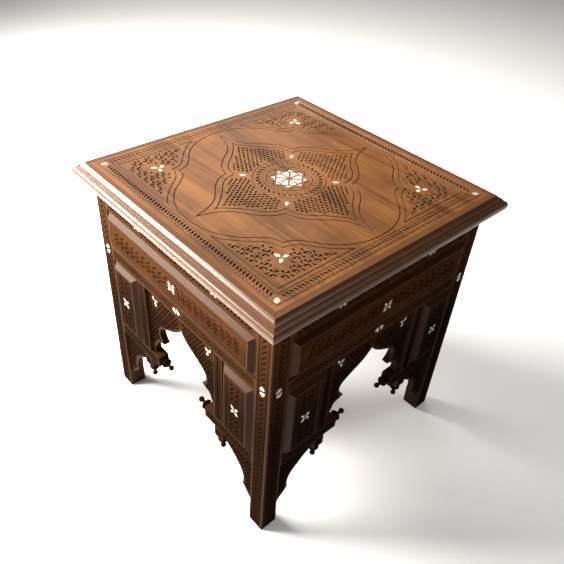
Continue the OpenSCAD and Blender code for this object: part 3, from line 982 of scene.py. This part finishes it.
leg_in, leg_out, leg_foot, leg_head = size_of("leg_front_right")
leg_thick = leg_out - leg_in
rail_depth = 20.0
rail_height = 24.0
OVAL_HEIGHT = 341.0
post_centre = 105.5
post_half = 10.5
post_left, post_right = post_centre - post_half, post_centre + post_half
field_foot = 179.0
field_head = 329.0
FIELD_STEP, FIELD_RISE = 7.8, 5.4
SIDE_DEEP = 1.3
CHAIN_DEEP = 1.2


def on_all_faces(bm, name, grain_along):
    """The same piece on all four faces of the table, each from its own length of wood."""
    for quarter, face in enumerate(FACES):
        node = name.format(face)
        piece = finished(bm.copy(), "carved_" + node, shaded_side_wood, grain_along, UPRIGHT, quarter)
        stands_for(piece, node)
    print(name.format("*"), "has", len(bm.faces), "faces on each side of the table")
    bm.free()


def open_lines(starts_and_ends, width, deep):
    """Straight engraved lines."""
    return [groove(line, width, deep, False) for line in starts_and_ends]


print("a leg is", round(leg_thick, 1), "mm thick and", round(leg_head - leg_foot, 1), "mm long")

# %% [markdown]
# ## The legs
# Each leg is one square post, carved on its two outer faces only: a chain of scrolls between two
# engraved lines, broken by a split oval of shell at the height of the middle rail. The same band
# is cut on both faces, at the same distance from the inner edge of each. The leg is made once and
# turned to each corner, with other wood each time.

# %% Cut the legs
LEG_BAND = 15.5
OVAL_CLEAR = 12.5


def upright_chain(x, low, high):
    """A chain of scrolls up a leg, with a gap around the shell."""
    cuts = []
    for outline in chain(high - low, 10.4, 14.0):
        placed = turned(outline, 90, x, (low + high) / 2)
        if all(math.hypot(px - x, py - OVAL_HEIGHT) > OVAL_CLEAR for px, py in placed):
            cuts.append(gouged(placed, CHAIN_DEEP))
    return cuts


def leg_cuts(band):
    """The cuts of one face: band is where the chain runs, measured across the face."""
    low, high = leg_foot + 6, leg_head - 18
    edges = [[(band + side, low), (band + side, high)] for side in (-10, 10)]
    pockets = shell_pockets([moved(half, band, OVAL_HEIGHT) for half in oval_halves])
    return upright_chain(band, low, high) + open_lines(edges, 1.2, 0.8) + pockets


leg = board(rectangle(leg_in, leg_foot, leg_out, leg_head), -leg_thick, 0, 0.8)
from_side = Matrix(((0, 0, 1, leg_out), (0, 1, 0, 0), (-1, 0, 0, 0), (0, 0, 0, 1)))
carve(leg, flat_face(leg, (0, 0, 1)), Matrix(), leg_cuts(leg_in + LEG_BAND))
carve(leg, flat_face(leg, (1, 0, 0)), from_side, leg_cuts(leg_thick - LEG_BAND))
for quarter, name in enumerate(("front_right", "back_right", "back_left", "front_left")):
    piece = finished(leg.copy(), "carved_leg_" + name, shaded_side_wood, "y", UPRIGHT, quarter)
    stands_for(piece, "leg_" + name)
print("a leg has", len(leg.faces), "faces")
leg.free()

# %% [markdown]
# ## The frieze rail
# The frieze rail ties the heads of the legs together under the top. Its upper third is hidden
# behind the moulding and stays plain. Its field is drawn for the right-hand half and mirrored,
# as the real one reads the same from its middle outwards.

# %% Frieze rail
def side_by_side(cuts):
    """The cuts of a right-hand half and their mirror images."""
    return cuts + [gouged(mirrored(c.rim), c.deep) for c in cuts]


FRIEZE_X = 98.0
_, _, frieze_low, frieze_high = size_of("frieze_rail_front")
FRIEZE_SHELL = frieze_high - 36
frieze_shell = [moved(p, x, FRIEZE_SHELL) for x in (-FRIEZE_X, FRIEZE_X)
                for p in petals(DIAGONAL_WAYS, 8, 4.6, 1.2)]
half_field = lattice(rectangle(1, frieze_low + 4.0, leg_in - 5, frieze_high - 17), FIELD_STEP, FIELD_RISE,
                     weave_motif, [(FRIEZE_X, FRIEZE_SHELL, 10.5)], (5, frieze_low + 7.6), SIDE_DEEP)
cuts = side_by_side(half_field) + shell_pockets(frieze_shell)
cuts += open_lines([[(-leg_in + 3, frieze_low + 2.4), (leg_in - 3, frieze_low + 2.4)]], 0.9, 0.6)
frieze = board(rectangle(-leg_in, frieze_low, leg_in, frieze_high), -rail_depth, 0)
carve(frieze, flat_face(frieze, (0, 0, 1)), Matrix(), cuts)
on_all_faces(frieze, "frieze_rail_{}", "x")

# %% [markdown]
# ## The middle rail
# The middle rail runs between the legs over the arch. It has a narrow chain between two lines,
# and in its middle a split oval of shell that lies on its side.

# %% Middle rail
middle_low, middle_high = field_head, field_head + rail_height
band_middle = (middle_low + middle_high) / 2 + 1.5
rail_oval = [turned(half, 90, 0, OVAL_HEIGHT) for half in oval_halves]
cuts = []
for outline in chain(2 * leg_in - 10, 8.2, 11.5):
    placed = moved(outline, 0, band_middle)
    if all(abs(x) > 13 for x, y in placed):
        cuts.append(gouged(placed, CHAIN_DEEP))
cuts += open_lines([[(-leg_in + 3, band_middle + side), (leg_in - 3, band_middle + side)]
                    for side in (-8, 8)], 0.8, 0.6)
cuts += shell_pockets(rail_oval)
middle = board(rectangle(-leg_in, middle_low, leg_in, middle_high), -rail_depth, 0)
carve(middle, flat_face(middle, (0, 0, 1)), Matrix(), cuts)
on_all_faces(middle, "middle_rail_{}", "x")

# %% [markdown]
# ## The lower rails
# A short rail runs in from each leg under the small panel and ends in a block at the arch. Where
# it crosses the post, its back half is cut away and it passes in front. It carries two rows of
# three-sided pits between two lines. The left-hand one is the right-hand one mirrored.

# %% Lower rails
_, _, lower_low, lower_high = size_of("lower_rail_front_r")
lower_end = 69.0
lower_depth = 21.0
plan = [(lower_end, -lower_depth), (post_left, -lower_depth), (post_left, -post_half),
        (post_right, -post_half), (post_right, -lower_depth), (leg_in, -lower_depth),
        (leg_in, 0), (lower_end, 0)]
lower = prism([(x, lower_low, z) for x, z in plan], (0, lower_high - lower_low, 0))
lower_middle = ((lower_end + leg_in) / 2, (lower_low + lower_high) / 2)
cuts = placed_cuts(pits(leg_in - lower_end - 8, 9.0, 3.0, 4.0), 1.1, 0, *lower_middle)
cuts += open_lines([[(lower_end + 3, lower_middle[1] + side), (leg_in - 3, lower_middle[1] + side)]
                    for side in (-8.6, 8.6)], 0.8, 0.6)
carve(lower, flat_face(lower, (0, 0, 1)), Matrix(), cuts)
on_all_faces(repeated(lower.copy(), [MIRROR]), "lower_rail_{}_l", "x")
on_all_faces(lower, "lower_rail_{}_r", "x")

# %% [markdown]
# ## The raised panels
# A raised panel is one board: its edge is planed down to a sloping bevel, so the middle stands
# proud of the frame. The thin margin sits in the frame's groove. Two insets of the front face, a
# flat one and one that rises, give the margin and the bevel in one piece.

# %% Long panels
PANEL_BACK, PANEL_GROUND = -14, -2
PANEL_MARGIN, PANEL_BEVEL, PANEL_RISE = 5, 6, 8
PANEL_FACE = PANEL_GROUND + PANEL_RISE
on_panel_face = Matrix.Translation((0, 0, PANEL_FACE))


def raised_panel(x0, y0, x1, y1):
    """A fielded panel, in the drawing's own plane."""
    corners = [(x, y, PANEL_BACK) for x, y in rectangle(x0, y0, x1, y1)]
    bm = sharp_prism(corners, (0, 0, PANEL_GROUND - PANEL_BACK))
    front = flat_face(bm, (0, 0, 1))
    for thickness, depth in ((PANEL_MARGIN, 0), (PANEL_BEVEL, PANEL_RISE)):
        bmesh.ops.inset_region(bm, faces=[front], thickness=thickness, depth=depth, use_even_offset=True)
    soften(bm, 0.6, least_angle=20)
    return bm


long_low, long_high = middle_high, frieze_low
long_middle = (long_low + long_high) / 2
long_shell = [moved(p, 0, long_middle)
              for p in petals(DIAGONAL_WAYS, 10, 5, 1.6) + petals((0, 180), 5, 2.2, 4)]
half_field = lattice(rectangle(1.2, long_middle - 14.5, leg_in - 24, long_middle + 14.5), 15.6, 8.1,
                     small_scroll_motif, [(0, long_middle, 11.5)], (20, long_middle), SIDE_DEEP)
front_line = rectangle(-leg_in + 16, long_low + 16, leg_in - 16, long_high - 16)
cuts = side_by_side(half_field) + shell_pockets(long_shell) + [groove(front_line, 1.0, 0.7)]
long_panel = raised_panel(-leg_in, long_low, leg_in, long_high)
carve(long_panel, flat_face(long_panel, (0, 0, 1), (0, long_middle, PANEL_FACE)), on_panel_face, cuts)
on_all_faces(long_panel, "long_panel_{}", "x")

# %% [markdown]
# ## The small panels
# The two small panels stand upright between post and leg. Their carving is the same in all four
# quarters, so one quarter is drawn and mirrored both ways. Both panels of a face are one piece of
# the model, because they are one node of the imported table.

# %% Small panels
small_in, small_out = post_right, leg_in
small_x, small_y = (small_in + small_out) / 2, (field_foot + field_head) / 2
small_shell = [moved(p, small_x, small_y) for p in petals(DIAGONAL_WAYS, 9.5, 5, 1.6)]
quarter_field = lattice(rectangle(small_x + 0.5, small_y + 0.5, small_x + 15, small_y + 55), FIELD_STEP,
                        FIELD_RISE, weave_motif, [(small_x, small_y, 13.5)], (small_x + 4.6, small_y + 3),
                        SIDE_DEEP)
small_cuts = []
for cut in quarter_field:
    for sx in (1, -1):
        for sy in (1, -1):
            rim = [(small_x + (x - small_x) * sx, small_y + (y - small_y) * sy) for x, y in cut.rim]
            small_cuts.append(gouged(rim[::sx * sy], cut.deep))
small_cuts += shell_pockets(small_shell)
for inset in (15.0, 19.5):
    border = rectangle(small_in + inset, field_foot + inset, small_out - inset, field_head - inset)
    small_cuts.append(groove(border, 0.8, 0.6))
small_panel = raised_panel(small_in, field_foot, small_out, field_head)
carve(small_panel, flat_face(small_panel, (0, 0, 1), (small_x, small_y, PANEL_FACE)), on_panel_face,
      small_cuts)
on_all_faces(repeated(small_panel, [Matrix(), MIRROR]), "small_panels_{}", "y")

# %% [markdown]
# ## The arch boards
# The arch is fretted out of one board with the grain across, and sits back from the frame. Half
# of its outline is drawn from the apex down, in curves between the corners that a fret saw
# leaves, and mirrored.

# %% Arch boards
APEX = 294.0
FRET_BACK, FRET_FACE = -18, -6
on_fret_face = Matrix.Translation((0, 0, FRET_FACE))
SPANDREL = (75, 307)
arch_half = [(0, 0)] + curve((0, 0), (14, -17), (26, -21), (46, -31), 10)
arch_half += curve((46, -31), (60, -38), (70, -46), (65, -58), 9)
arch_half += curve((65, -58), (62, -65), (59, -70), (54, -73), 5) + [(72, -79)]
arch_half += curve((72, -79), (79, -84), (78, -94), (86, -100), 7) + [(86, -115)]
arch_half = [(x, APEX + y) for x, y in arch_half]
arch_outline = (arch_half[::-1] + [(-x, y) for x, y in arch_half[1:]]
                + [(-post_left, field_foot), (-post_left, field_head), (post_left, field_head),
                   (post_left, field_foot)])[::-1]
right_half = arch_half + [(post_left, field_foot), (post_left, field_head), (0, field_head)]
half_field = lattice(grown(right_half, -3.5), 7.9, FIELD_RISE, weave_motif, [(*SPANDREL, 12)],
                     (5.0, 321), SIDE_DEEP)
half_field = [c for c in half_field if all(x > 0.5 for x, y in c.rim)]
spandrel_shell = [moved(p, *SPANDREL) for p in petals((60, 150, 240), 9, 5, 1.4)]
spandrel_shell += [mirrored(p) for p in spandrel_shell]
cuts = side_by_side(half_field) + shell_pockets(spandrel_shell)
arch = board(arch_outline, FRET_BACK, FRET_FACE)
carve(arch, flat_face(arch, (0, 0, 1)), on_fret_face, cuts)
print("the arch's outline has", len(arch_outline), "points")
on_all_faces(arch, "arch_board_{}", "x")

# %% [markdown]
# ## The brackets
# A bracket fills the corner under each lower rail. It is sawn and carved like the arch, with the
# grain upright, and its foot dies away against the leg.

# %% Brackets
bracket_outline = [(0, 0), (-75, 0), (-75, -20)] + curve((-75, -20), (-63, -29), (-41, -43), (-31, -58), 9)
bracket_outline += curve((-31, -58), (-25, -68), (-25, -79), (-28, -91), 7)
bracket_outline += curve((-28, -91), (-20, -97), (-12, -108), (-6, -114), 7) + [(0, -116)]
bracket_outline = [(leg_in + x, lower_low + y) for x, y in bracket_outline]
cuts = lattice(grown(bracket_outline, -4.0), FIELD_STEP, FIELD_RISE, weave_motif, (),
               (leg_in - 8, lower_low - 8), SIDE_DEEP)
bracket = board(bracket_outline, FRET_BACK, FRET_FACE)
carve(bracket, flat_face(bracket, (0, 0, 1)), on_fret_face, cuts)
on_all_faces(repeated(bracket.copy(), [MIRROR]), "bracket_{}_l", "y")
on_all_faces(bracket, "bracket_{}_r", "y")

# %% [markdown]
# ## The posts
# The posts beside the arch are carved like rope and cross the lower rails in a halved joint. A
# post is drawn from its side, with the notch of the joint, and swept across its width. The rope
# stops at the joint, so it is cut in two lengths.

# %% Posts
post_foot = 134.0
side_view = [(post_foot, -lower_depth), (post_foot, 0), (lower_low, 0), (lower_low, -post_half),
             (lower_high, -post_half), (lower_high, 0), (field_head, 0), (field_head, -lower_depth)]
post = prism([(post_left, y, z) for y, z in side_view], (2 * post_half, 0, 0))
for low, high in ((lower_high, field_head), (post_foot, lower_low)):
    middle_height = (low + high) / 2
    strokes = rope(high - low - 4, 5.8, 13.0, 14, 0.66)
    cuts = placed_cuts(strokes, 1.0, 90, post_centre, middle_height)
    cuts += open_lines([[(post_centre + side, low + 2), (post_centre + side, high - 2)]
                        for side in (-7.6, 7.6)], 0.9, 0.6)
    carve(post, flat_face(post, (0, 0, 1), (post_centre, middle_height, 0)), Matrix(), cuts)
on_all_faces(repeated(post, [Matrix(), MIRROR]), "post_pair_{}", "y")

# %% [markdown]
# ## The finials
# Every free end carries a small turned finial: a collar, a cup and a ball. On the lathe it is one
# profile that goes round, and so it is here: the profile is spun in full turn and its doubled
# points are merged. Eight point in from the ends of the lower rails and eight hang from the posts.

# %% Finials
def finial(length):
    """A finial that points along +z, turned from one profile."""
    collar, ball = 9.5, 4.8
    profile = [(0, 0), (collar, 0), (collar, 0.07), (collar - 1.5, 0.12), (collar - 4, 0.2),
               (collar - 3.6, 0.24), (collar - 0.6, 0.28), (collar - 0.2, 0.34), (collar - 1.4, 0.4),
               (collar - 4.6, 0.46), (3.2, 0.56), (2.6, 0.62)]
    points = [(r, t * length) for r, t in profile]
    for angle in range(-55, 91, 12):
        a = math.radians(angle)
        points.append((ball * math.cos(a), length - ball + ball * math.sin(a)))
    points[-1] = (0, length)
    bm = new_solid()
    verts = [bm.verts.new((r, 0, z)) for r, z in points]
    edges = [bm.edges.new(pair) for pair in zip(verts, verts[1:])]
    bmesh.ops.spin(bm, geom=verts + edges, angle=math.tau, steps=28, axis=(0, 0, 1), cent=(0, 0, 0),
                   use_merge=True)
    bmesh.ops.remove_doubles(bm, verts=bm.verts, dist=0.001)
    bmesh.ops.recalc_face_normals(bm, faces=bm.faces)
    return bm


def finial_places(first):
    """The eight places of a finial, from its place on the right of the front face."""
    return [face @ side @ first for face in all_faces for side in (Matrix(), MIRROR)]


inward = Matrix.Translation((lower_end, (lower_low + lower_high) / 2, -post_half))
inward = inward @ Matrix.Rotation(math.radians(-90), 4, "Y")
downward = Matrix.Translation((post_centre, post_foot, -post_half))
downward = downward @ Matrix.Rotation(math.radians(90), 4, "X")
for name, length, place in (("side_finials", 28.6, inward), ("drop_finials", 33.0, downward)):
    bm = repeated(finial(length), finial_places(place))
    piece = finished(bm, "turned_" + name, shaded_side_wood, "x", smooth_angle=40)
    stands_for(piece, name)
print("finials on", len(finial_places(inward)), "rail ends and as many posts")

# %% [markdown]
# ## Setting the shell
# Each piece of shell is a thin chip with a rubbed rim. It sits in its pocket with a hair of dark
# glue line around it, a little proud and never quite level, so no two catch the light alike. The
# chip is built from three rings of corners, since its upper face leans and its lower face does not.

# %% Shell pieces
level_seed = random.Random(11)
LEAN = 0.02
PROUD = 0.15
RUBBED_WIDE, RUBBED_DEEP = 0.28, 0.22


def chip(bm, outline, surface):
    """One piece of shell, drawn in the plane of the surface it is let into."""
    middle_x = sum(x for x, y in outline) / len(outline)
    middle_y = sum(y for x, y in outline) / len(outline)
    lean_x = level_seed.uniform(-LEAN, LEAN)
    lean_y = level_seed.uniform(-LEAN, LEAN)
    height = surface + PROUD
    bottom = [bm.verts.new((x, y, surface - POCKET_DEEP)) for x, y in outline]
    rim = [bm.verts.new((x, y, height - RUBBED_DEEP)) for x, y in outline]
    face = []
    for x, y in grown(outline, -RUBBED_WIDE):
        face.append(bm.verts.new((x, y, height + lean_x * (x - middle_x) + lean_y * (y - middle_y))))
    bm.faces.new(bottom[::-1])
    bm.faces.new(face)
    for lower_ring, upper_ring in ((bottom, rim), (rim, face)):
        for i in range(len(outline)):
            j = (i + 1) % len(outline)
            bm.faces.new((lower_ring[i], lower_ring[j], upper_ring[j], upper_ring[i]))


def set_shell(name, outlines, surface, places, node):
    """Chips for all the outlines, at every place."""
    bm = new_solid()
    for outline in outlines:
        chip(bm, outline, surface)
    piece = finished(repeated(bm, places), name, shell, "x", smooth_angle=25)
    stands_for(piece, node)
    print(name, "has", len(outlines) * len(places), "pieces of shell")


panel_shell = long_shell + small_shell + [mirrored(p) for p in small_shell]
leg_ovals = [moved(half, x, OVAL_HEIGHT) for x in (leg_in + LEG_BAND, -leg_in - LEG_BAND)
             for half in oval_halves]
set_shell("shell_star", star_shell, top_z / MM, [Matrix()], "star_inlay")
set_shell("shell_petals", petal_shell, top_z / MM, [Matrix()], "top_petal_inlay")
set_shell("frieze_shell", frieze_shell, 0, all_faces, "frieze_inlay")
set_shell("panel_shell", panel_shell, PANEL_FACE, all_faces, "panel_inlay")
set_shell("spandrel_shell", spandrel_shell, FRET_FACE, all_faces, "spandrel_inlay")
set_shell("oval_shell", leg_ovals + rail_oval, 0, all_faces, "oval_inlay")

# %% [markdown]
# ## The stage
# The table stands on a pale floor. One large soft light stands at the left, like a window: it
# draws the bright lines along the mouldings and leaves the right-hand face in shade. A second
# one, far weaker, stands further round. A wide ceiling light and a dim world keep the shadows
# soft. An image of a room could light it too, but then no light could be moved by itself.

# %% Floor and lights
LIGHTS_AIM = Vector((0, 0, 0.35))
DAYLIGHT = (1.0, 0.96, 0.90)
WORLD_STRENGTH = 0.06
floor_mesh = bpy.data.meshes.new("floor")
bm = bmesh.new()
bmesh.ops.create_grid(bm, x_segments=1, y_segments=1, size=6.0)
bm.to_mesh(floor_mesh)
bm.free()
floor = bpy.data.objects.new("floor", floor_mesh)
bpy.context.scene.collection.objects.link(floor)
floor_finish = Recipe("floor").finish(Base_Color=rgb(0.90, 0.90, 0.90), Roughness=0.9)
floor_mesh.materials.append(floor_finish)


def soft_light(name, direction, distance, size, power, colour):
    """An area light that looks at the table from a direction, in metres and watts."""
    light = bpy.data.lights.new(name, "AREA")
    light.shape = "RECTANGLE"
    light.size, light.size_y = size
    light.energy = power
    light.color = colour
    lamp = bpy.data.objects.new(name, light)
    direction = Vector(direction).normalized()
    lamp.location = LIGHTS_AIM + direction * distance
    lamp.rotation_euler = direction.to_track_quat("Z", "Y").to_euler()
    bpy.context.scene.collection.objects.link(lamp)
    print(name, "gives", power, "W from", round(distance, 1), "m")


soft_light("window", (-0.74, -0.54, 0.44), 1.7, (1.3, 1.0), 220, DAYLIGHT)
soft_light("far window", (-0.84, 0.36, 0.50), 2.2, (1.7, 1.3), 8, DAYLIGHT)
soft_light("ceiling", (0, 0, 1), 3.0, (4, 4), 92, (1.0, 0.99, 0.97))
world = bpy.data.worlds.new("studio")
world.use_nodes = True
sky = world.node_tree.nodes["Background"]
sky.inputs["Color"].default_value = rgb(1, 1, 1)
sky.inputs["Strength"].default_value = WORLD_STRENGTH
bpy.context.scene.world = world
bpy.context.scene.view_settings.view_transform = "Standard"
